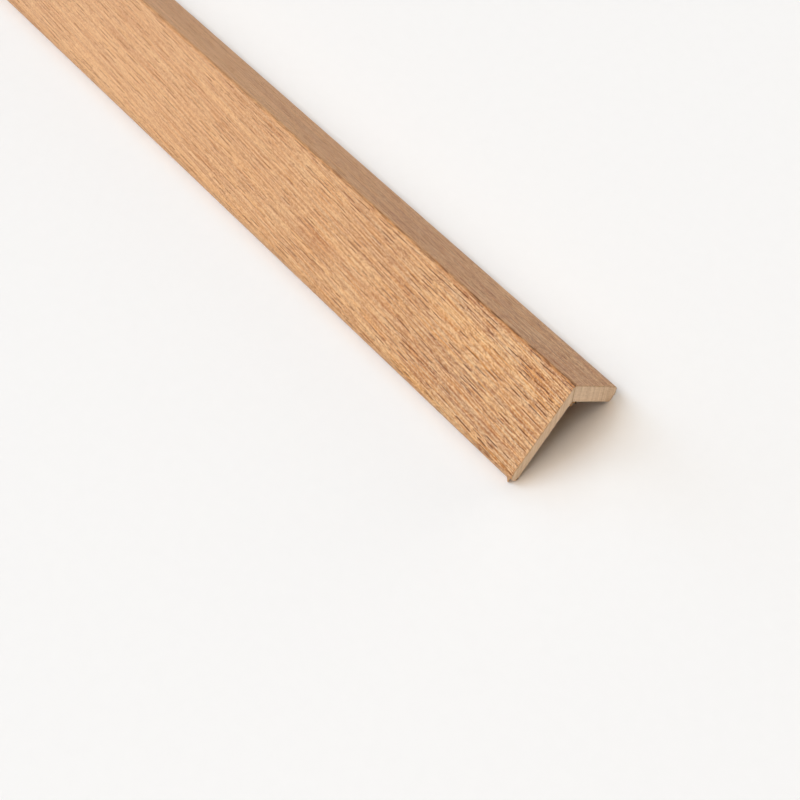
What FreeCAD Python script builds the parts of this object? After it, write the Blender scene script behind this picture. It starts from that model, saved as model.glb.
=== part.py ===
import FreeCAD, Part

import math
import os

# Corner guard moulding: two mitred fibreboard legs at a right angle under one sheet of decor foil.
# It lies fold up on its free edges. X runs along the length, with the skewed saw cut at +X.
# Y runs across, with the left leg on -Y, and Z is up. The origin is under the middle, on the floor.
# All sizes are in millimetres and degrees.

# Stock sizes, over the foil
LENGTH = 1200.0          # along the edge of the longer leg
LEG_WIDTH = 25.0         # from the sharp outer corner of the section to the free edge
THICKNESS = 4.0          # board and foil together
FOIL = 0.2               # decor foil

# Edges and joint
FOLD_RADIUS = 1.0        # outside of the foil where it turns over the fold
EDGE_RADIUS = 2.75       # outside of the foil where it turns over the free edge
HEEL_RADIUS = 0.4        # bare board at the free edge's inner corner, which stands on the floor
FOIL_TRIM = 0.1          # how far the foil stops short of the heel's round
MITRE_GAP = 0.15         # hairline joint between the two legs
SAW_SKEW = 3.0           # saw cut out of square across the width, so the left leg is the longer one

# The section is drawn on each leg by two distances: along the leg from the sharp outer corner,
# and depth in from its outer face. These are its lines and the centres of its rounds.
DIAGONAL = math.sqrt(2.0)
BOARD_EDGE = LEG_WIDTH - FOIL
FOLD_CENTRE = (FOLD_RADIUS, FOLD_RADIUS)
EDGE_CENTRE = (LEG_WIDTH - EDGE_RADIUS, EDGE_RADIUS)
HEEL_CENTRE = (BOARD_EDGE - HEEL_RADIUS, THICKNESS - HEEL_RADIUS)
FOIL_STOP = THICKNESS - HEEL_RADIUS - FOIL_TRIM
APEX_HEIGHT = sum(HEEL_CENTRE) / DIAGONAL + HEEL_RADIUS
HALF_WIDTH = (EDGE_CENTRE[0] - EDGE_CENTRE[1]) / DIAGONAL + EDGE_RADIUS

# Which leg, and the directions from the centre of a round
LEFT, RIGHT = -1, 1
TO_FOLD, TO_MITRE, TO_OUTSIDE, TO_EDGE, TO_INSIDE = -180.0, -135.0, -90.0, 0.0, 90.0


def section_point(side, along, depth):
    """A point of the section at the square end, turned so that the leg slopes down from the fold."""
    across = side * (along - depth) / DIAGONAL
    height = APEX_HEIGHT - (along + depth) / DIAGONAL
    return FreeCAD.Vector(-LENGTH / 2, across, height)


def on_round(centre, radius, angle):
    """The along and depth of a point on a round, in a direction from its centre."""
    turn = math.radians(angle)
    return centre[0] + radius * math.cos(turn), centre[1] + radius * math.sin(turn)


def straight(side, start, end):
    """A straight line of the section."""
    return Part.LineSegment(section_point(side, *start), section_point(side, *end)).toShape()


def rounded(side, centre, radius, start, end):
    """A round of the section, from one direction to another."""
    directions = (start, (start + end) / 2, end)
    points = [section_point(side, *on_round(centre, radius, angle)) for angle in directions]
    return Part.Arc(*points).toShape()


def raw_length(edges):
    """Runs the closed section along the length, with a surplus for the saw."""
    section = Part.Face(Part.Wire(Part.__sortEdges__(edges)))
    return section.extrude(FreeCAD.Vector(LENGTH + HALF_WIDTH, 0, 0))


def leg_board(side):
    """One fibreboard leg: mitred at the fold, rounded under the foil and at the heel."""
    nose_radius = FOLD_RADIUS - FOIL
    nose_start = TO_MITRE + math.degrees(math.asin(MITRE_GAP / 2 / nose_radius))
    inner_corner = (THICKNESS + MITRE_GAP / DIAGONAL, THICKNESS)
    return raw_length([
        rounded(side, FOLD_CENTRE, nose_radius, nose_start, TO_OUTSIDE),
        straight(side, (FOLD_RADIUS, FOIL), (EDGE_CENTRE[0], FOIL)),
        rounded(side, EDGE_CENTRE, EDGE_RADIUS - FOIL, TO_OUTSIDE, TO_EDGE),
        straight(side, (BOARD_EDGE, EDGE_RADIUS), (BOARD_EDGE, HEEL_CENTRE[1])),
        rounded(side, HEEL_CENTRE, HEEL_RADIUS, TO_EDGE, TO_INSIDE),
        straight(side, (HEEL_CENTRE[0], THICKNESS), inner_corner),
        straight(side, inner_corner, on_round(FOLD_CENTRE, nose_radius, nose_start)),
    ])


def foil_face(inset):
    """One face of the foil, outside or inside, from the left trimmed edge over the fold to the right."""
    edge = LEG_WIDTH - inset
    lines = [rounded(LEFT, FOLD_CENTRE, FOLD_RADIUS - inset, TO_FOLD, TO_OUTSIDE)]
    for side in (LEFT, RIGHT):
        lines.append(straight(side, (FOLD_RADIUS, inset), (EDGE_CENTRE[0], inset)))
        lines.append(rounded(side, EDGE_CENTRE, EDGE_RADIUS - inset, TO_OUTSIDE, TO_EDGE))
        lines.append(straight(side, (edge, EDGE_RADIUS), (edge, FOIL_STOP)))
    return lines


def decor_foil():
    """One sheet of foil over both outer faces, the fold and the two free edges."""
    trims = [straight(side, (LEG_WIDTH, FOIL_STOP), (BOARD_EDGE, FOIL_STOP)) for side in (LEFT, RIGHT)]
    return raw_length(foil_face(0.0) + foil_face(FOIL) + trims)


def offcut():
    """What the saw takes off: a block past the cut, turned by the skew about the left free edge."""
    reach = 4 * HALF_WIDTH
    block = Part.makeBox(reach, 2 * reach, 2 * reach, FreeCAD.Vector(0, -reach, -reach))
    cut_start = FreeCAD.Vector(LENGTH / 2, -HALF_WIDTH, 0)
    block.Placement = FreeCAD.Placement(cut_start, FreeCAD.Rotation(FreeCAD.Vector(0, 0, 1), SAW_SKEW))
    return block


def main():
    blanks = {
        "left_leg_board": leg_board(LEFT),
        "right_leg_board": leg_board(RIGHT),
        "decor_foil": decor_foil(),
    }
    waste = offcut()
    os.makedirs("parts", exist_ok=True)
    for node, blank in blanks.items():
        piece = blank.cut(waste).Solids[0]
        piece.exportStep("parts/" + node + ".step")
        print(node, "volume", round(piece.Volume, 1), "mm3, box", piece.BoundBox)


main()
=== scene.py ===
# %% [markdown]
# A foil-wrapped corner guard moulding: the real object is two strips of fibreboard that meet at a mitre,
# under one sheet of printed and embossed foil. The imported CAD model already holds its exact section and
# place, so this lesson only dresses it: it loads that model as a fixed frame, and builds finer meshes and
# materials in the same place.

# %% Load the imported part
import math

import bmesh
import bpy
import numpy as np
from mathutils import Matrix, Vector


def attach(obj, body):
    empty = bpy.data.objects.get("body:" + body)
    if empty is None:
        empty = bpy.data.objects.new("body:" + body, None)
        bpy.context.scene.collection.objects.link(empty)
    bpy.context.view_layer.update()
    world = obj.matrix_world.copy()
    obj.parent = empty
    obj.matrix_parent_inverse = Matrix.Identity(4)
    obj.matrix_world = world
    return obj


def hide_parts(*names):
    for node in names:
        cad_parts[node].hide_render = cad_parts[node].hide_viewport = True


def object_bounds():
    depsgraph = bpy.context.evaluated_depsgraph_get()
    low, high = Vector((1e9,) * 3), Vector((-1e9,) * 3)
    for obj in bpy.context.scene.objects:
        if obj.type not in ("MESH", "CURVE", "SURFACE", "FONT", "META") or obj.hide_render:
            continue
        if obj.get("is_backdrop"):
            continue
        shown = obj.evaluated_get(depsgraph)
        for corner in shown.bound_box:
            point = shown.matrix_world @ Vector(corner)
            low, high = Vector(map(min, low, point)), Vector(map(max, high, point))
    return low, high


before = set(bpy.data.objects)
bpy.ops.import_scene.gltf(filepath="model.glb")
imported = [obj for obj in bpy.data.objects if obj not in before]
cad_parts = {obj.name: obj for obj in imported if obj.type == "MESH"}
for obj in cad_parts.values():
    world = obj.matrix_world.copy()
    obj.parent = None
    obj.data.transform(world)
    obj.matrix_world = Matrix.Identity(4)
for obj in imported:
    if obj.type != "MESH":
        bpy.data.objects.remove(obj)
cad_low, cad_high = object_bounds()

print("nodes", sorted(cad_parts), "box", list(cad_low), list(cad_high))

# %% [markdown]
# The section is easiest to think of on one leg: how far along it from the sharp outer corner, and how
# deep in from its outer face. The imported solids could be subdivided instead, but drawing the section
# again from its few sizes puts vertices just where the later steps want them. Sizes stay in millimetres
# here, and are scaled to Blender's metres only when a mesh is made.

# %% Sizes of the section
MM = 0.001
LENGTH = (cad_high.x - cad_low.x) / MM
LEG_WIDTH = 25.0         # from the sharp outer corner to the free edge
THICKNESS = 4.0          # board and foil together
FOIL = 0.2
FOLD_RADIUS = 1.0        # outside of the foil at the fold
EDGE_RADIUS = 2.75       # outside of the foil at the free edge
HEEL_RADIUS = 0.4        # bare board, where the leg stands on the floor
FOIL_TRIM = 0.1          # how far the foil stops short of the heel's round
MITRE_GAP = 0.15
SAW_SKEW = 3.0           # degrees out of square
print("a leg is", LEG_WIDTH, "by", THICKNESS, "mm and", round(LENGTH, 2), "mm long")

# %% [markdown]
# Both legs slope down at 45 degrees from the fold and stand on their heels, which fixes the height of the
# fold. Along the length, points are counted back from the sawn end, because that is where the detail is.
# Each line of points is stretched between the skewed cut and the square far end, so both ends come out
# true.

# %% From the section to space
LEFT, RIGHT = -1, 1
DIAGONAL = math.sqrt(2.0)
SAW_SLOPE = math.tan(math.radians(SAW_SKEW))
HALF_WIDTH = (LEG_WIDTH - 2 * EDGE_RADIUS) / DIAGONAL + EDGE_RADIUS
APEX_HEIGHT = (LEG_WIDTH - FOIL + THICKNESS - 2 * HEEL_RADIUS) / DIAGONAL + HEEL_RADIUS


def place(side, along, depth, from_saw):
    """Points in millimetres; from_saw is the distance from the sawn end."""
    across = side * (along - depth) / DIAGONAL
    height = APEX_HEIGHT - (along + depth) / DIAGONAL
    sawn_end = LENGTH / 2 - SAW_SLOPE * (across + HALF_WIDTH)
    lengthwise = sawn_end - from_saw / LENGTH * (sawn_end + LENGTH / 2)
    return np.stack(np.broadcast_arrays(lengthwise, across, height), axis=-1)


print("half width", round(HALF_WIDTH, 3), "mm, and the frame's is", round(cad_high.y / MM, 3))

# %% [markdown]
# The foil is one plastic sheet that turns over the fold and over both rounded free edges. It helps to
# unroll it: each place on the sheet is a distance from the fold's middle line, less than zero on the left
# leg. This function rolls such distances back on to the section. That way one flat grid makes the whole
# sheet, and the grain runs over the bends without a seam.

# %% Where the foil runs across the section
TO_MITRE, TO_OUTSIDE, TO_EDGE, TO_INSIDE = -135, -90, 0, 90    # degrees, from a round's centre
HALF_FOLD = FOLD_RADIUS * math.pi / 4
FACE_END = HALF_FOLD + LEG_WIDTH - EDGE_RADIUS - FOLD_RADIUS
ROUND_END = FACE_END + EDGE_RADIUS * math.pi / 2
FOIL_END = ROUND_END + THICKNESS - HEEL_RADIUS - FOIL_TRIM - EDGE_RADIUS


def foil_surface(reach):
    """Along, depth and their outward normal on the foil's outside, at distances from the fold's middle."""
    reach = np.abs(reach)
    on_fold = reach < HALF_FOLD
    radius = np.where(on_fold, FOLD_RADIUS, EDGE_RADIUS)
    fold_turn = reach / FOLD_RADIUS + math.radians(TO_MITRE)
    round_run = np.clip(reach - FACE_END, 0, ROUND_END - FACE_END)
    edge_turn = round_run / EDGE_RADIUS + math.radians(TO_OUTSIDE)
    turn = np.where(on_fold, fold_turn, edge_turn)
    face_run = np.clip(reach, HALF_FOLD, FACE_END) - HALF_FOLD
    along = FOLD_RADIUS + face_run + radius * np.cos(turn)
    depth = radius + radius * np.sin(turn) + np.maximum(reach - ROUND_END, 0)
    return along, depth, np.cos(turn), np.sin(turn)


print("the sheet is", round(FOIL_END, 3), "mm from the fold's middle to each trimmed edge")

# %% [markdown]
# The print shows a straight-grained wood, and an embossing roller has pressed its pores into the sheet,
# so each dark dash is also a real groove. A displaced even grid would need cells finer than a groove,
# which is a quarter of a millimetre wide. Here the vertices run along the length in rows, four to a lane
# of pores, and only the two middle rows of a lane dip where a pore is. That takes far fewer triangles.
# Lanes lie closer on the fold, to keep it round.

# %% Lanes across the sheet
SEED = 41
LANE_PITCH, LANE_HALF = 0.80, 0.12
FOLD_PITCH, FOLD_HALF = 0.36, 0.10
PITCH_SPREAD, HALF_SPREAD = (0.75, 1.25), (0.8, 1.2)
random = np.random.default_rng(SEED)

lane_middles, lane_halves = [], []
reach = -FOIL_END
while reach < FOIL_END - LANE_PITCH:
    pitch, half = (FOLD_PITCH, FOLD_HALF) if abs(reach) < HALF_FOLD else (LANE_PITCH, LANE_HALF)
    reach += pitch * random.uniform(*PITCH_SPREAD)
    lane_middles.append(reach)
    lane_halves.append(half * random.uniform(*HALF_SPREAD))
print(len(lane_middles), "lanes of pores")

# %% [markdown]
# Columns of vertices cross the lanes. They are closest at the cut, where the sheet is torn. Then the
# steps grow slowly through the stretch that the camera sees best, and the far rest of the length gets by
# with few.

# %% Columns along the sheet
END_RUN, END_STEP = 2.0, 0.25
FINE_END, FINE_STEPS = 216.0, (0.65, 1.15)
COARSE_STEP = 12.0

end_columns = np.arange(0, END_RUN, END_STEP)
fine_count = round((FINE_END - end_columns[-1]) / (sum(FINE_STEPS) / 2))
step = np.arange(1, fine_count)
growth = (FINE_STEPS[1] - FINE_STEPS[0]) / 2 / fine_count
fine_columns = end_columns[-1] + FINE_STEPS[0] * step + growth * step ** 2
coarse_columns = np.arange(FINE_END, LENGTH + COARSE_STEP / 2, COARSE_STEP)
columns = np.concatenate([end_columns, fine_columns, coarse_columns])
print(len(columns), "columns, the last at", columns[-1], "mm")

# %% [markdown]
# In an open-pored wood the vessels show as short dashes. Along a lane, pores of one to five millimetres
# follow gaps of random length. Most are shallow and few are deep. Even chance would look like rain, so
# slow waves stretch the gaps: some draw the pores of neighbouring lanes into clusters, and one lines up
# the dashes of a lane. The whole grain runs four degrees out of line with the edges, so each dash leans
# too.

# %% Pores along each lane
GRAIN_SLOPE = math.tan(math.radians(4.0))
PORE_LENGTHS = (1.2, 4.6)
PORE_GAPS = (0.4, 4.6)
PORE_TAPER = 0.6                                            # half of it past the pore's end
STRENGTH_SHAPE = (1.1, 2.1)                                 # of a beta distribution
CLUSTER_WAVES = ((31.0, 7.3, 0.0), (17.0, -4.1, 1.3))       # length, width and phase
CLUSTER_PULL = 0.45
DASHED_LINE, LINE_PULL = 34.0, 0.8


def lane_pores(reach):
    """How deep a lane's pores are at each column, from 0 to 1, and how far the lane leans there."""
    depth = np.zeros(len(columns))
    knots, leans = [], []
    start = -random.uniform(*PORE_GAPS)
    line_phase = random.uniform(0, 2 * math.pi)
    while start < LENGTH:
        end = start + random.uniform(*PORE_LENGTHS)
        strength = random.beta(*STRENGTH_SHAPE)
        from_ends = np.minimum(columns - start, end - columns)
        depth = np.maximum(depth, strength * np.clip(from_ends / PORE_TAPER + 0.5, 0, 1))
        half_lean = GRAIN_SLOPE * (end - start) / 2
        knots += [start, end]
        leans += [-half_lean, half_lean]
        cluster = sum(math.sin(2 * math.pi * (end / length + reach / width) + phase)
                      for length, width, phase in CLUSTER_WAVES)
        line = math.sin(2 * math.pi * end / DASHED_LINE + line_phase)
        start = end + random.uniform(*PORE_GAPS) * math.exp(CLUSTER_PULL * cluster + LINE_PULL * line)
    return depth, np.interp(columns, knots, leans)


lanes = [lane_pores(reach) for reach in lane_middles]
print("share of the lanes that is pore", round(float(np.mean([depth for depth, lean in lanes])), 3))

# %% [markdown]
# Grain is never ruler straight, so the rows also wander a little together. At the fold and at the trimmed
# edges they have to keep straight, or the sheet would no longer meet its own outline. So a row is free to
# stray only as far as it lies from those.

# %% Rows of the sheet
LANE_ROWS = (-1.0, -0.4, 0.4, 1.0)       # shares of a lane's half width
WANDER = 0.20
WANDER_LENGTHS = (87.0, 39.0)
WANDER_TURN = 0.11                       # radians for each millimetre across
LEAN_ROOM = 3.0


def wander(reach):
    """How far a row strays sideways at each column."""
    waves = [np.sin(2 * math.pi * columns / length + WANDER_TURN * order * reach + order)
             for order, length in enumerate(WANDER_LENGTHS, start=1)]
    return WANDER * sum(waves) / len(waves)


def freedom(reach):
    """From 0 at the fold and the trimmed edges to 1 on the faces between."""
    return np.clip(min(abs(reach) - HALF_FOLD, FOIL_END - abs(reach)) / LEAN_ROOM, 0, 1)


flat_rows, real_rows, pore_rows = [], [], []
still = np.zeros(len(columns))
for reach, half, (depth, lean) in zip(lane_middles, lane_halves, lanes):
    for share in LANE_ROWS:
        row = reach + share * half
        flat_rows.append(row + still)
        real_rows.append(row + (wander(row) + lean) * freedom(row))
        pore_rows.append(depth if abs(share) < 1 else still)
flat_rows = np.array([still - FOIL_END, *flat_rows, still + FOIL_END])
real_rows = np.array([still - FOIL_END, *real_rows, still + FOIL_END])
pore_rows = np.array([still, *pore_rows, still])
print(len(real_rows), "rows, closest", round(float(np.diff(real_rows, axis=0).min()), 3), "mm apart")

# %% [markdown]
# The saw has left its marks on the sheet's end: the cut edge is slightly ragged, and at the left foot the
# foil has come off the round. There it hangs straight down as a small torn flap, shorter towards the cut.
# The flap is no piece of its own. The same grid is only rolled on less far there, so the sheet stays
# whole.

# %% From the flat sheet to points in space
PORE_DEPTH = 0.07
RAGGED = 0.30
ROUND_MIDDLE = (FACE_END + ROUND_END) / 2
FLAP_AT = (0.0, 0.25, 0.5, 0.75, 1.0, 1.25, 1.5)          # from the cut
FLAP_SHARE = (1.0, 1.0, 1.0, 1.0, 1.0, 0.8, 0.0)          # 1 where the foil is off the round
FLAP_DROP = (0.06, 0.15, 0.35, 1.8, 2.2, 2.4, 2.4)        # how far it hangs down from the round's middle


def foil_points(reach, inset, from_saw):
    """Points of the sheet at an inset from its outside."""
    along, depth, normal_along, normal_depth = foil_surface(reach)
    middle_along, middle_depth, flap_along, flap_depth = foil_surface(np.array(ROUND_MIDDLE))
    past = np.maximum(-reach - ROUND_MIDDLE, 0)
    share = np.where(past > 0, np.interp(from_saw, FLAP_AT, FLAP_SHARE), 0)
    hang = past / (FOIL_END - ROUND_MIDDLE) * np.interp(from_saw, FLAP_AT, FLAP_DROP) / DIAGONAL
    along = along + share * (middle_along + hang - along)
    depth = depth + share * (middle_depth + hang - depth)
    normal_along = normal_along + share * (flap_along - normal_along)
    normal_depth = normal_depth + share * (flap_depth - normal_depth)
    side = np.where(reach < 0, LEFT, RIGHT)
    return place(side, along - inset * normal_along, depth - inset * normal_depth, from_saw)


rows, count = real_rows.shape
from_saw = np.tile(columns, (rows, 1))
from_saw[:, 0] = RAGGED * random.random(rows) ** 2
inner_columns = [*range(len(end_columns)), count - 1]
outside = foil_points(real_rows, pore_rows * PORE_DEPTH, from_saw)
inside = foil_points(real_rows[:, inner_columns], FOIL, from_saw[:, inner_columns])
print("outside", outside.shape, "inside", inside.shape)

# %% [markdown]
# Every material below is a small graph of nodes. One function adds a node, sets it up and links its
# inputs, and another turns the usual sRGB hex colours into the linear numbers that a shader works with. A
# Mix node has sockets for numbers, vectors and colours under the same names, so those for colours go by
# number.

# %% Shader helpers
MIX_FACTOR, MIX_A, MIX_B, MIX_RESULT = 0, 6, 7, 2


def linear(hex_colour):
    """An sRGB hex colour as linear red, green and blue, with an alpha of 1."""
    channels = [int(hex_colour[start:start + 2], 16) / 255 for start in (1, 3, 5)]
    return [c / 12.92 if c <= 0.04045 else ((c + 0.055) / 1.055) ** 2.4 for c in channels] + [1.0]


def add_node(tree, kind, inputs, **settings):
    """Adds a node, sets its properties, and links or sets its inputs by name or number."""
    node = tree.nodes.new(kind)
    for name, value in settings.items():
        setattr(node, name, value)
    for key, value in inputs.items():
        if isinstance(value, bpy.types.NodeSocket):
            tree.links.new(value, node.inputs[key])
        else:
            node.inputs[key].default_value = value
    return node


def new_material(name):
    """A material, its node tree and its shader."""
    material = bpy.data.materials.new(name)
    material.use_nodes = True
    return material, material.node_tree, material.node_tree.nodes["Principled BSDF"]


print("middle grey in linear light", [round(value, 3) for value in linear("#808080")])

# %% [markdown]
# Decor foil, printed and embossed: a thin plastic film with a wood grain printed on it, lacquered satin,
# with pores that a roller has pressed in. It gives the eye warm straw and brown lines with a soft, wide
# highlight, and pores that are dark and dull. An image of wood would be the usual way to paint it. Here
# the print is worked out from noise, so it has no seam and no limit of detail. The material reads what
# each vertex knows: its place on the flat sheet, how deep its pore is, how near the fold it is, and how
# strong the print is there, which is thinner and paler farther from the cut as painted sheen and blur.

# %% Values that the foil carries
CARRIED = ("strip", "pore", "bend", "crease_shade", "ink", "unprinted")
foil_material, tree, shader = new_material("decor_foil_printed_and_embossed")
carried = {name: add_node(tree, "ShaderNodeAttribute", {}, attribute_name=name).outputs for name in CARRIED}
strip = carried["strip"]["Vector"]
pore, bend, crease_shade, painted_sheen_fade, unprinted = (carried[name]["Fac"] for name in CARRIED[1:])
print(foil_material.name, "reads", ", ".join(CARRIED))

# %% [markdown]
# A grain is several patterns, one over the other: a slow drift of tone across the sheet, broad bands,
# fine streaks, single pale fibres and small flecks. Each is the same noise, stretched along the grain.
# Its length and width are millimetres of the real print, and the low and high limits say how much of it
# is left blank. One more pattern breaks the painted shade along the fold's crease into notches.

# %% Print patterns
PATTERNS = {
    "drift": dict(length=500.0, width=16.0, detail=0.0, low=0.25, high=0.75),
    "band": dict(length=170.0, width=4.5, detail=2.0, low=0.36, high=0.64),
    "streak": dict(length=42.0, width=0.50, detail=2.0, low=0.39, high=0.63),
    "fibre": dict(length=13.0, width=0.24, detail=1.0, low=0.34, high=0.66),
    "fleck": dict(length=2.2, width=0.28, detail=2.0, low=0.54, high=0.68),
    "crease_break": dict(length=3.5, width=0.6, detail=2.0, low=0.44, high=0.58),
}
PRINT_START = (23.0, 5.0, 0.0)           # where in the noise the sheet was cut from
print_of = {}
for name, size in PATTERNS.items():
    scale = (1 / size["length"], 1 / size["width"], 0)
    at = add_node(tree, "ShaderNodeVectorMath", {0: strip, 1: scale, 2: PRINT_START},
                  operation="MULTIPLY_ADD").outputs[0]
    noise = add_node(tree, "ShaderNodeTexNoise", {"Vector": at, "Scale": 1.0, "Detail": size["detail"]},
                     noise_dimensions="2D").outputs["Fac"]
    limits = {"Value": noise, "From Min": size["low"], "From Max": size["high"]}
    print_of[name] = add_node(tree, "ShaderNodeMapRange", limits).outputs["Result"]
print("patterns", list(print_of))

# %% [markdown]
# Close up, a print falls apart into dots of ink, which give the foil its dry speckle. Real ones are about
# a tenth of a millimetre, too fine to show here, so these are drawn two to three times as coarse. Each
# cell of the texture is one dot, darker or lighter by chance. The light ones also nibble at the pores, so
# their dashes get ragged sides. Another pattern breaks the painted shade along the fold's crease into
# notches.

# %% Print dots and pores
DOT_SIZE = (0.28, 0.20)
DOT_BLANK, DOT_DARKEST, DOT_LIGHTEST = 0.5, 0.2, 0.8
DOT_BITE = -0.15
PORE_LIMITS = (0.10, 0.26)

dot_scale = (1 / DOT_SIZE[0], 1 / DOT_SIZE[1], 0)
dots_at = add_node(tree, "ShaderNodeVectorMath", {0: strip, 1: dot_scale}, operation="MULTIPLY").outputs[0]
dots = add_node(tree, "ShaderNodeTexVoronoi", {"Vector": dots_at, "Scale": 1.0},
                voronoi_dimensions="2D").outputs["Color"]
dark_limits = {"Value": dots, "From Min": DOT_BLANK, "From Max": DOT_DARKEST}
dark_dots = add_node(tree, "ShaderNodeMapRange", dark_limits).outputs["Result"]
light_limits = {"Value": dots, "From Min": DOT_BLANK, "From Max": DOT_LIGHTEST}
light_dots = add_node(tree, "ShaderNodeMapRange", light_limits).outputs["Result"]
bitten = add_node(tree, "ShaderNodeMath", {0: light_dots, 1: DOT_BITE, 2: pore},
                  operation="MULTIPLY_ADD").outputs[0]
pore_limits = {"Value": bitten, "From Min": PORE_LIMITS[0], "From Max": PORE_LIMITS[1]}
pore_ink = add_node(tree, "ShaderNodeMapRange", pore_limits).outputs["Result"]
# Painted shade: the dark line on the fold's shaded side, broken into notches.
shade_notches = add_node(tree, "ShaderNodeMath", {0: crease_shade, 1: print_of["crease_break"]}, operation="MULTIPLY").outputs[0]
print("dots of", DOT_SIZE, "mm")

# %% [markdown]
# The printer lays one ink after another on a straw ground, and so does this loop: each ink is mixed over
# the colour so far, where its pattern is. The fold gets a darker orange line and, on its shaded side, a
# dark line of painted shade with notches, and the pores come last. Farther from the cut every ink thins
# out and the ground is paler, as painted sheen and blur. The faces that the knife and the saw cut show
# the film itself, with no print.

# %% Inks on the ground
# The paler ground is painted sheen, used farther from the cut.
SHEENED_GROUND, FULL_GROUND = "#E0B083", "#D6964C"
CUT_EDGE_TONES = ("#CFAE86", "#84623F")
INKS = (
    (print_of["drift"], "#A85E20", 0.36),
    (print_of["band"], "#B86A22", 0.44),
    (print_of["streak"], "#8E460A", 0.86),
    (print_of["fibre"], "#EBCA9C", 0.58),
    (dark_dots, "#844006", 0.38),
    (light_dots, "#F8D8A8", 0.32),
    (print_of["fleck"], "#80400C", 0.55),
    (bend, "#B06A22", 0.55),
    # Painted shade: a dark, notched line on the shaded side of the fold.
    (shade_notches, "#4A1C06", 0.92),
    (pore_ink, "#521802", 0.94),
)
# Farther from the cut the ground turns paler and the inks thinner, as painted sheen and blur.
ground = {MIX_FACTOR: painted_sheen_fade, MIX_A: linear(SHEENED_GROUND), MIX_B: linear(FULL_GROUND)}
colour = add_node(tree, "ShaderNodeMix", ground, data_type="RGBA").outputs[MIX_RESULT]
for pattern, ink, strength in INKS:
    full = add_node(tree, "ShaderNodeMath", {0: pattern, 1: strength}, operation="MULTIPLY").outputs[0]
    factor = add_node(tree, "ShaderNodeMath", {0: full, 1: painted_sheen_fade}, operation="MULTIPLY").outputs[0]
    over = {MIX_FACTOR: factor, MIX_A: colour, MIX_B: linear(ink)}
    colour = add_node(tree, "ShaderNodeMix", over, data_type="RGBA").outputs[MIX_RESULT]
film = {MIX_FACTOR: print_of["fleck"], MIX_A: linear(CUT_EDGE_TONES[0]), MIX_B: linear(CUT_EDGE_TONES[1])}
cut_edge = add_node(tree, "ShaderNodeMix", film, data_type="RGBA").outputs[MIX_RESULT]
finished = {MIX_FACTOR: unprinted, MIX_A: colour, MIX_B: cut_edge}
colour = add_node(tree, "ShaderNodeMix", finished, data_type="RGBA").outputs[MIX_RESULT]
tree.links.new(colour, shader.inputs["Base Color"])
print(len(INKS), "inks")

# %% [markdown]
# The lacquer is satin: a roughness of about a half, with the refractive index of most plastics. It
# doesn't reach the bottom of a pore, which stays dull. The fibres stand up by a few hundredths of a
# millimetre. That is too little for vertices, so a Bump node leans the normals instead, and only the
# light shows it.

# %% Satin finish
FOIL_IOR = 1.5
FOIL_ROUGHNESS, PORE_ROUGHNESS = 0.54, 0.95
FIBRE_HEIGHT, FIBRE_STRENGTH = 0.03 * MM, 0.5

relief = {"Height": print_of["fibre"], "Strength": FIBRE_STRENGTH, "Distance": FIBRE_HEIGHT}
bump = add_node(tree, "ShaderNodeBump", relief).outputs["Normal"]
tree.links.new(bump, shader.inputs["Normal"])
dullness = {"Value": pore, "To Min": FOIL_ROUGHNESS, "To Max": PORE_ROUGHNESS}
roughness = add_node(tree, "ShaderNodeMapRange", dullness).outputs["Result"]
tree.links.new(roughness, shader.inputs["Roughness"])
shader.inputs["IOR"].default_value = FOIL_IOR
print(foil_material.name, "has", len(tree.nodes), "nodes")

# %% [markdown]
# Meshes here come from arrays of points and lists of faces. Modelling by hand or with modifiers would do
# for a plain sheet, but not for thousands of pores in their places. Faces are smooth shaded, apart from
# edges sharper than a limit, so the cut ends stay crisp. Each piece rides on the moulding's one body.

# %% Mesh helpers
SHARP_ANGLE = math.radians(40)


def make_piece(name, points, faces, material, slot):
    """A mesh from points in millimetres, smooth but for its sharp edges, riding on the one body."""
    mesh = bpy.data.meshes.new(name)
    mesh.from_pydata((points * MM).tolist(), [], faces)
    mesh.materials.append(material)
    mesh.shade_smooth()
    mesh.set_sharp_from_angle(angle=SHARP_ANGLE)
    mesh.calc_loop_triangles()
    piece = bpy.data.objects.new(name, mesh)
    bpy.context.scene.collection.objects.link(piece)
    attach(piece, "root")
    print(name, len(mesh.loop_triangles), "triangles")
    return piece


def quads(numbers):
    """The quads of a grid of vertex numbers."""
    corners = (numbers[:-1, :-1], numbers[:-1, 1:], numbers[1:, 1:], numbers[1:, :-1])
    return np.stack(corners, axis=-1).reshape(-1, 4).tolist()


def add_values(piece, name, values, domain="POINT"):
    """Stores a number or a vector on each vertex, or each face, for the material to read."""
    kind, field = ("FLOAT", "value") if values.ndim == 1 else ("FLOAT_VECTOR", "vector")
    layer = piece.data.attributes.new(name, kind, domain)
    layer.data.foreach_set(field, values.astype(np.float32).ravel())


print("a grid of 3 by 3 vertices gives the quads", quads(np.arange(9).reshape(3, 3)))

# %% [markdown]
# The sheet is a thin solid, as the real one is, so its cut edge shows on the sawn end. A grid of quads
# makes the outside and a much coarser one the inside, which lies on the boards. Strips close the two
# ends. Along the trimmed edges many outside vertices face few inside ones, so each stretch is closed by a
# fan.

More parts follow.
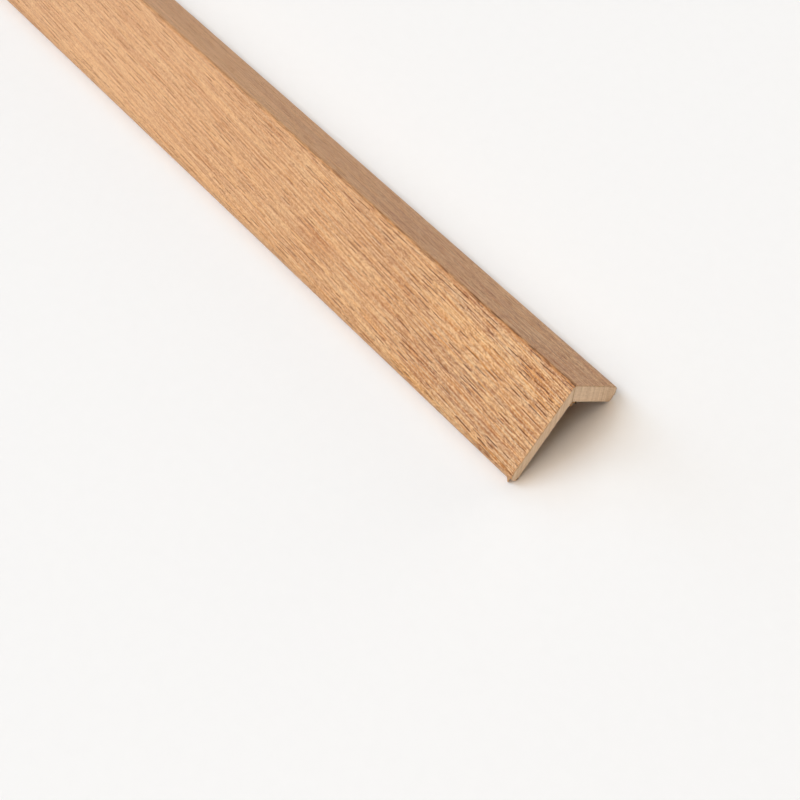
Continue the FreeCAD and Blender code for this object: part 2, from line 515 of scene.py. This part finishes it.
# %% Foil mesh
outer = np.arange(rows * count).reshape(rows, count)
inner = outer.size + np.arange(rows * len(inner_columns)).reshape(rows, -1)
rims = [np.stack([inner[:, 0], outer[:, 0]], axis=-1), np.stack([outer[:, -1], inner[:, -1]], axis=-1)]
faces = quads(outer[:, ::-1])
printed_faces = len(faces)
faces += quads(inner)
for rim in rims:
    faces += quads(rim[:, ::-1])
for row, order in ((0, 1), (-1, -1)):
    for number, (start, end) in enumerate(zip(inner_columns, inner_columns[1:])):
        apex = inner[row, number]
        fan = [(outer[row, column], outer[row, column + 1], apex) for column in range(start, end)]
        fan.append((outer[row, end], inner[row, number + 1], apex))
        faces += [triangle[::order] for triangle in fan]
points = np.concatenate([outside.reshape(-1, 3), inside.reshape(-1, 3)])
foil = make_piece("embossed_foil", points, faces, foil_material, "wood_decor_foil")
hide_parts("decor_foil")

# %% [markdown]
# Now the sheet gets the values that its material reads. The strip is the place on the flat sheet, sheared
# by the slope of the grain. Along the fold runs an orange line on top, and just over on the shaded right a
# dark line of painted shade. The print is strongest by the cut; behind it the ink is thinner and the ground
# paler, as painted sheen and blur, and it gains strength again farther back. Values on the vertices need no
# unwrapped map, so there is no seam to hide.

# %% Values for the print
# Painted sheen and blur: less ink and a paler ground between these distances from the cut.
FADE_RUN = (22.0, 50.0, 130.0, 215.0, 420.0)      # from the cut
SHEEN_AND_BLUR_FADE = (1.0, 0.68, 0.39, 0.38, 0.85)              # share of the ink
BEND_AT, BEND_HALF = -0.10, 0.45                  # from the fold's middle, and half as wide as the line
# The dark line of painted shade sits just over on the fold's shaded side.
CREASE_AT, CREASE_HALF = 0.22, 0.26
LINE_GAIN = 1.3


def on_both_faces(values):
    """Values of the outside grid, followed by those that the inside vertices share."""
    sides = (values, values[:, inner_columns])
    return np.concatenate([side.reshape(-1, *values.shape[2:]) for side in sides])


def line_on_fold(middle, half):
    """1 along a line by the fold, falling to 0 at its sides."""
    return np.clip(LINE_GAIN - np.abs(flat_rows - middle) / half, 0, 1)


grain = real_rows - GRAIN_SLOPE * from_saw
add_values(foil, "strip", on_both_faces(np.stack([from_saw, grain, 0 * grain], axis=-1)))
add_values(foil, "pore", on_both_faces(pore_rows))
add_values(foil, "bend", on_both_faces(line_on_fold(BEND_AT, BEND_HALF)))
# Painted shade along the fold's shaded side.
add_values(foil, "crease_shade", on_both_faces(line_on_fold(CREASE_AT, CREASE_HALF)))
# Painted sheen and blur, which the material reads as the share of ink.
add_values(foil, "ink", on_both_faces(np.interp(from_saw, FADE_RUN, SHEEN_AND_BLUR_FADE)))
add_values(foil, "unprinted", (np.arange(len(faces)) >= printed_faces).astype(float), "FACE")
print("printed faces", printed_faces, "of", len(faces))

# %% [markdown]
# Fibreboard, pressed and sawn, is what the foil covers: wood fibres pressed with resin, in thin layers
# that lie flat in the board. It gives the eye a matt beige. The sawn end is pale and fuzzy, and its tones
# are set paler still as painted light, with a tone that changes from one stroke of the saw to the next,
# and the inside face, which was pressed smooth, is browner. Noise squeezed to the thickness of a layer
# makes both, drawn about twice as coarse as real layers, so that it shows.

# %% Fibreboard material
FIBRE_SIZE = (1.4, 0.22, 1.4)            # along the leg, through the board and along the length
# The sawn tones are the board's own pale end, made paler still as painted light.
SAWN_TONES_WITH_PAINTED_LIGHT, PRESSED_TONES = ("#C9AA88", "#E8CEAF"), ("#B08B64", "#CBA77E")
LAYER_DETAIL = 3.0
STROKE_WEIGHT, STROKE_LIMITS = 0.45, (0.40, 1.05)
LAYER_HEIGHT, LAYER_STRENGTH = 0.05 * MM, 0.5
BOARD_ROUGHNESS = 0.9

board_material, tree, shader = new_material("fibreboard_sawn")
board_at = add_node(tree, "ShaderNodeAttribute", {}, attribute_name="board").outputs["Vector"]
sawn = add_node(tree, "ShaderNodeAttribute", {}, attribute_name="sawn").outputs["Fac"]
stroke = add_node(tree, "ShaderNodeAttribute", {}, attribute_name="stroke").outputs["Fac"]
layer_at = add_node(tree, "ShaderNodeVectorMath", {0: board_at, 1: [1 / size for size in FIBRE_SIZE]},
                    operation="MULTIPLY").outputs[0]
layer_noise = {"Vector": layer_at, "Scale": 1.0, "Detail": LAYER_DETAIL}
layers = add_node(tree, "ShaderNodeTexNoise", layer_noise).outputs["Fac"]
marked = add_node(tree, "ShaderNodeMath", {0: stroke, 1: STROKE_WEIGHT, 2: layers},
                  operation="MULTIPLY_ADD").outputs[0]
stroke_limits = {"Value": marked, "From Min": STROKE_LIMITS[0], "From Max": STROKE_LIMITS[1]}
strokes = add_node(tree, "ShaderNodeMapRange", stroke_limits).outputs["Result"]
tones = []
for amount, (dark, light) in ((layers, PRESSED_TONES), (strokes, SAWN_TONES_WITH_PAINTED_LIGHT)):
    tone = {MIX_FACTOR: amount, MIX_A: linear(dark), MIX_B: linear(light)}
    tones.append(add_node(tree, "ShaderNodeMix", tone, data_type="RGBA").outputs[MIX_RESULT])
either = {MIX_FACTOR: sawn, MIX_A: tones[0], MIX_B: tones[1]}
board_colour = add_node(tree, "ShaderNodeMix", either, data_type="RGBA").outputs[MIX_RESULT]
tree.links.new(board_colour, shader.inputs["Base Color"])
relief = {"Height": layers, "Strength": LAYER_STRENGTH, "Distance": LAYER_HEIGHT}
tree.links.new(add_node(tree, "ShaderNodeBump", relief).outputs["Normal"], shader.inputs["Normal"])
shader.inputs["Roughness"].default_value = BOARD_ROUGHNESS
print(board_material.name, "has", len(tree.nodes), "nodes")

# %% [markdown]
# Each board is one section, pushed along the length. One flat face would do for a clean end, but this end
# carries the marks of the saw, so a grid has to fill it. The section has four sides: the outside with its
# nose, the inside, the free edge and the mitre. First each side is drawn from lines and arcs, and divided
# into even steps.

# %% Sides of a board's section
ALONG_CELLS, DEPTH_CELLS = 96, 18
ARC_POINTS = 9


def arc(centre, radius, start, end):
    """Points of along and depth on a round, between two directions in degrees."""
    turn = np.radians(np.linspace(start, end, ARC_POINTS))
    return np.stack([centre[0] + radius * np.cos(turn), centre[1] + radius * np.sin(turn)], axis=-1)


def evenly(path, cells):
    """The same path with evenly spaced points."""
    run = np.concatenate([[0], np.cumsum(np.linalg.norm(np.diff(path, axis=0), axis=1))])
    wanted = np.linspace(0, run[-1], cells + 1)
    return np.stack([np.interp(wanted, run, path[:, axis]) for axis in (0, 1)], axis=-1)


edge_centre, edge_radius = (LEG_WIDTH - EDGE_RADIUS, EDGE_RADIUS), EDGE_RADIUS - FOIL
heel_centre = (LEG_WIDTH - FOIL - HEEL_RADIUS, THICKNESS - HEEL_RADIUS)
nose_radius = FOLD_RADIUS - FOIL
nose_start = math.degrees(math.asin(MITRE_GAP / 2 / nose_radius)) + TO_MITRE
nose = arc((FOLD_RADIUS, FOLD_RADIUS), nose_radius, nose_start, TO_OUTSIDE)
inner_corner = np.array([[THICKNESS + MITRE_GAP / DIAGONAL, THICKNESS]])
edge_middle, heel_middle = (TO_OUTSIDE + TO_EDGE) / 2, (TO_EDGE + TO_INSIDE) / 2
outer_path = [nose, arc(edge_centre, edge_radius, TO_OUTSIDE, edge_middle)]
inner_path = [inner_corner, arc(heel_centre, HEEL_RADIUS, TO_INSIDE, heel_middle)]
edge_path = [arc(edge_centre, edge_radius, edge_middle, TO_EDGE),
             arc(heel_centre, HEEL_RADIUS, TO_EDGE, heel_middle)]
outer_side = evenly(np.concatenate(outer_path), ALONG_CELLS)
inner_side = evenly(np.concatenate(inner_path), ALONG_CELLS)
free_edge = evenly(np.concatenate(edge_path), DEPTH_CELLS)
mitre = evenly(np.stack([outer_side[0], inner_side[0]]), DEPTH_CELLS)
print("points on the sides", len(outer_side), len(inner_side), len(free_edge), len(mitre))

# %% [markdown]
# One patch fills the four sides: blend the outside with the inside, blend the mitre with the free edge,
# add the two, and take away the blend of the four corners, which was counted twice. The grid follows
# every round, and no triangle is wasted past the outline.

# %% Grid of a board's section
u = np.linspace(0, 1, ALONG_CELLS + 1)[:, None, None]
v = np.linspace(0, 1, DEPTH_CELLS + 1)[None, :, None]
mitre_corners = (1 - v) * mitre[0] + v * mitre[-1]
edge_corners = (1 - v) * free_edge[0] + v * free_edge[-1]
corner_blend = (1 - u) * mitre_corners + u * edge_corners
through_board = (1 - v) * outer_side[:, None] + v * inner_side[:, None]
section = through_board + (1 - u) * mitre + u * free_edge - corner_blend
print("section grid", section.shape)

# %% [markdown]
# The saw came down stroke by stroke, and each left a shallow mark of its own depth and tone across the
# end. The left board is also worn a little at its free edge, behind the torn flap. Both are modelled by
# setting back the grid of the sawn end. The strokes have random numbers of their own, so a change of the
# pores leaves them alone.

# %% Boards
SAW_SEED = 6
SAW_MARKS, SAW_PITCH = 0.07, 0.3
WORN_FOOT, WORN_REACH, WORN_DEPTH = (24.5, 1.6), 1.6, 0.2
WORN_GAIN = 1.3
EVEN_TONE = 0.5
saw_random = np.random.default_rng(SAW_SEED)


def make_board(name, node, side, worn):
    """A board with a rough sawn end, closed by walls round the section's rim and a plain far end."""
    along, depth = section[..., 0], section[..., 1]
    strokes = saw_random.random(round(HALF_WIDTH / SAW_PITCH) + 2)    # one to spare at each side
    stroke_places = SAW_PITCH * DIAGONAL * np.arange(-1, len(strokes) - 1)
    marks = np.interp(along - depth, stroke_places, strokes)
    from_foot = np.hypot(along - WORN_FOOT[0], depth - WORN_FOOT[1])
    cut = SAW_MARKS * marks + worn * np.clip(WORN_GAIN * (1 - from_foot / WORN_REACH), 0, 1)
    ends = [place(side, along, depth, cut), place(side, along, depth, LENGTH)]
    near = np.arange(along.size).reshape(along.shape)
    rim = np.concatenate([near[:, 0], near[-1, 1:], near[-2::-1, -1], near[0, -2::-1]])
    walls = np.stack([rim + along.size, rim], axis=0)
    order = slice(None, None, -side)
    end_faces, wall_faces = quads(near[::-1]) + quads(near + along.size), quads(walls)
    faces = [face[order] for face in end_faces + wall_faces]
    points = np.concatenate([end.reshape(-1, 3) for end in ends])
    piece = make_piece(name, points, faces, board_material, "fibreboard")
    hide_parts(node)
    add_values(piece, "board", np.column_stack([np.tile(section.reshape(-1, 2), (2, 1)), points[:, 0]]))
    add_values(piece, "stroke", np.concatenate([marks.ravel(), np.full(marks.size, EVEN_TONE)]))
    add_values(piece, "sawn", np.repeat([1.0, 0.0], [len(end_faces), len(wall_faces)]), "FACE")


make_board("left_board_sawn", "left_leg_board", LEFT, worn=WORN_DEPTH)
make_board("right_board_sawn", "right_leg_board", RIGHT, worn=0.0)

# %% [markdown]
# Nearly black fibreboard and torn decor foil are the litter that the saw left. One crumb of board is
# nearly black and quite dull. A torn sliver of foil shows a dark brown back, with some of the film's
# sheen. Both are too small for a print, so each material only wavers between two tones, in patches of a
# fraction of a millimetre.

# %% Materials of the litter
def mottled(name, dark, light, grain, roughness):
    """A material that wavers between two tones, with patches of a size in millimetres."""
    material, tree, shader = new_material(name)
    at = add_node(tree, "ShaderNodeTexCoord", {}).outputs["Object"]
    patches = add_node(tree, "ShaderNodeTexNoise", {"Vector": at, "Scale": 1 / (grain * MM)}).outputs["Fac"]
    tone = {MIX_FACTOR: patches, MIX_A: linear(dark), MIX_B: linear(light)}
    colour = add_node(tree, "ShaderNodeMix", tone, data_type="RGBA").outputs[MIX_RESULT]
    tree.links.new(colour, shader.inputs["Base Color"])
    shader.inputs["Roughness"].default_value = roughness
    return material


dark_crumb_material = mottled("fibreboard_nearly_black", "#1C130D", "#43321F", grain=0.15, roughness=0.95)
sliver_material = mottled("decor_foil_torn", "#5E421F", "#94703C", grain=0.20, roughness=0.6)
print("materials", dark_crumb_material.name, sliver_material.name)

# %% [markdown]
# A few crumbs hang in the inner corner of the cut, the nearly black one among them, and the sliver clings
# to the left heel. Litter has no drawn shape, so each bit is a small ball, dented at random and squeezed to
# its size. They sit partly sunk in what they cling to.

# %% Crumbs and sliver
CRUMBS = ((LEFT, 3), (LEFT, 2), (LEFT, 1), (RIGHT, 1), (RIGHT, 3))      # leg, and steps from the corner
CRUMB_SIZES, CRUMB_SQUEEZE = (0.26, 0.46), (0.6, 1.3)
CRUMB_STEP, CRUMB_FORWARD = 0.32, 0.12
CRUMB_OUT = 0.25         # how far a crumb's middle stands off the board, as a share of its size
DARK_CRUMB_SIZE, DARK_CRUMB_AT = 0.62, 5.8
SLIVER_SIZE, SLIVER_AT, SLIVER_BACK = (0.22, 0.95, 0.56), (24.25, 3.72), 0.03
DENTS = (0.55, 1.0)


def dented_balls(centres, sizes):
    """Points and faces of small dented balls, each squeezed to its size in millimetres."""
    ball = bmesh.new()
    bmesh.ops.create_icosphere(ball, subdivisions=2, radius=0.5)
    unit = np.array([vertex.co for vertex in ball.verts])
    corners = np.array([[vertex.index for vertex in face.verts] for face in ball.faces])
    ball.free()
    points = [centre + unit * saw_random.uniform(*DENTS, (len(unit), 1)) * size
              for centre, size in zip(centres, sizes)]
    faces = [corners + number * len(unit) for number in range(len(points))]
    return np.concatenate(points), np.concatenate(faces).tolist()


sides, steps = np.array(CRUMBS).T
sizes = saw_random.uniform(*CRUMB_SIZES, (len(CRUMBS), 1))
sizes = sizes * saw_random.uniform(*CRUMB_SQUEEZE, (len(CRUMBS), 3))
crumb_depths = THICKNESS + CRUMB_OUT * sizes.mean(axis=1)
centres = place(sides, THICKNESS + CRUMB_STEP * steps, crumb_depths, -CRUMB_FORWARD)
make_piece("saw_crumbs", *dented_balls(centres, sizes), board_material, "fibreboard")
dark_crumb_centre = place(RIGHT, DARK_CRUMB_AT, THICKNESS + CRUMB_OUT * DARK_CRUMB_SIZE, -CRUMB_FORWARD)
dark_crumb_ball = dented_balls([dark_crumb_centre], [DARK_CRUMB_SIZE])
make_piece("dark_crumb", *dark_crumb_ball, dark_crumb_material, "fibreboard")
sliver_ball = dented_balls([place(LEFT, *SLIVER_AT, SLIVER_BACK)], [SLIVER_SIZE])
make_piece("torn_sliver", *sliver_ball, sliver_material, "wood_decor_foil")

# %% [markdown]
# The stage is a plain floor of matt white laminate. It gives the eye an even, pale ground with soft
# shadows, and hardly any gloss. It is one large face, since nothing of it has a shape to show.

# %% Floor
FLOOR_HALF = 4.0         # metres
floor_material = mottled("white_laminate_matt", "#EDECEB", "#EFEEED", grain=3.0, roughness=0.7)
floor_corners = [(x * FLOOR_HALF, y * FLOOR_HALF, 0) for x, y in ((-1, -1), (1, -1), (1, 1), (-1, 1))]
floor_mesh = bpy.data.meshes.new("floor")
floor_mesh.from_pydata(floor_corners, [], [(0, 1, 2, 3)])
floor_mesh.materials.append(floor_material)
floor = bpy.data.objects.new("floor", floor_mesh)
bpy.context.scene.collection.objects.link(floor)
floor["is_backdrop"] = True
print("floor", 2 * FLOOR_HALF, "m wide")

# %% [markdown]
# The light is that of a bright room: a large window on the left, and pale walls, a ceiling and a card
# that send some of it back. Area lamps would have to be very large to light so long an object evenly. A
# Sun lamp is even by nature, and its angle makes it soft, so each of these stands in as one wide sun. A
# sun's bearing is counted from +X towards +Y and its height from the floor, both in degrees, and its
# strength was matched to the photograph. The pale backdrop is there for the camera only, and gives no
# light of its own.

# %% Light
SUNS = {
    "window_high": dict(bearing=225, height=50, spread=35, strength=1.546, tint="#D3EAFF"),
    "window_side": dict(bearing=270, height=50, spread=35, strength=1.476, tint="#FFF6EC"),
    "window_low": dict(bearing=205, height=14, spread=40, strength=0.773, tint="#C3E1FF"),
    "ceiling": dict(bearing=225, height=82, spread=60, strength=0.809, tint="#FFE1BA"),
    "wall_back": dict(bearing=135, height=50, spread=35, strength=0.618, tint="#D7EEFF"),
    "wall_right": dict(bearing=90, height=22, spread=35, strength=0.636, tint="#FFEDDD"),
    "card_in_front": dict(bearing=0, height=7, spread=12, strength=0.763, tint="#FFECDE"),
}
BACKDROP = "#F4F3F1"
scene = bpy.context.scene
scene.view_settings.view_transform = "Standard"
scene.world = bpy.data.worlds.new("pale_backdrop")
scene.world.use_nodes = True
tree = scene.world.node_tree
backdrop = tree.nodes["Background"]
backdrop.inputs["Color"].default_value = linear(BACKDROP)
seen = add_node(tree, "ShaderNodeLightPath", {}).outputs["Is Camera Ray"]
tree.links.new(seen, backdrop.inputs["Strength"])
for name, sun in SUNS.items():
    light = bpy.data.lights.new(name, "SUN")
    light.energy = sun["strength"]
    light.angle = math.radians(sun["spread"])
    light.color = linear(sun["tint"])[:3]
    lamp = bpy.data.objects.new(name, light)
    lamp.rotation_euler = (0, math.radians(90 - sun["height"]), math.radians(sun["bearing"]))
    scene.collection.objects.link(lamp)
print("lights", list(SUNS))

# %% [markdown]
# The camera looks down along the moulding at its sawn end, as in the photograph. Three angles turn it,
# and its place follows from one known point: the corner of the cut at the fold has to fall on its pixel,
# at a distance that gives the right size. That is simpler than guessing a place, and the framing holds if
# an angle changes. The picture is taken to be 800 pixels square.

# %% Camera
LENS, SENSOR, PICTURE = 64.32, 36.0, 800
AZIMUTH, ELEVATION, ROLL = math.radians(47.03), math.radians(55.65), math.radians(2.44)
CORNER_PIXEL, CORNER_DISTANCE = (575.7, 385.9), 288.0

back = Vector((math.sin(AZIMUTH) * math.cos(ELEVATION), -math.cos(AZIMUTH) * math.cos(ELEVATION),
               math.sin(ELEVATION)))
level_right = Vector((math.cos(AZIMUTH), math.sin(AZIMUTH), 0))
level_up = back.cross(level_right)
right = level_right * math.cos(ROLL) + level_up * math.sin(ROLL)
up = back.cross(right)
per_pixel = CORNER_DISTANCE * SENSOR / LENS / PICTURE
corner = Vector(place(LEFT, 0.0, 0.0, 0.0).tolist())
aside, above = CORNER_PIXEL[0] - PICTURE / 2, PICTURE / 2 - CORNER_PIXEL[1]
middle = corner - right * aside * per_pixel - up * above * per_pixel
camera_data = bpy.data.cameras.new("camera")
camera_data.lens = LENS
camera_data.sensor_width = SENSOR
camera = bpy.data.objects.new("camera", camera_data)
turn = Matrix((right, up, back)).transposed().to_4x4()
camera.matrix_world = Matrix.Translation((middle + back * CORNER_DISTANCE) * MM) @ turn
scene.collection.objects.link(camera)
scene.camera = camera
print("camera at", [round(value, 4) for value in camera.location])

# %% [markdown]
# Last, the dressed moulding is measured. Pores and saw marks only go inward, so its box has to lie within
# the CAD model's. Both boxes are gathered side by side, and the visual one is printed.

# %% Measure and finish
low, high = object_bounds()
sizes = {"cad": [list(cad_low), list(cad_high)], "visual": [list(low), list(high)]}
print("visual box", sizes["visual"])
